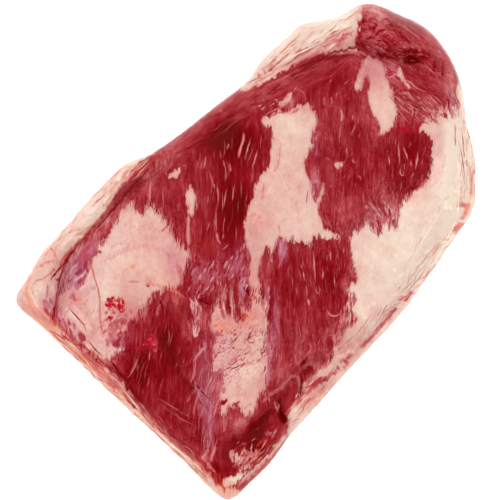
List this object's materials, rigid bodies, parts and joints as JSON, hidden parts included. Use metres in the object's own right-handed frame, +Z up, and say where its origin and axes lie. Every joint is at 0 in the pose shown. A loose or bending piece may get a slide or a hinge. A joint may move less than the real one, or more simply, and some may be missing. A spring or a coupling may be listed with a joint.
{
  "type": "raw beef brisket",
  "caption": "Whole raw beef brisket in tight clear vacuum film, lean side up on its fat cap, with a thin flat end and a thick point end.",
  "frame": {"origin": "on the surface it lies on, under the middle of the solid's box", "axes": "+X from the thin flat end to the thick point end, +Y across to the back side with the exposed fat rim, +Z up out of the lean face"},
  "size_m": [0.4544, 0.2894, 0.0873],
  "materials": {
    "meat": "wet raw lean beef in deep red with cream fat patches, silverskin and a cream fat cap underneath",
    "film": "thin clear glossy vacuum film with fine creases, drawn tight over the meat"
  },
  "bodies": {
    "root": {"brisket": "meat"}
  },
  "joints": []
}
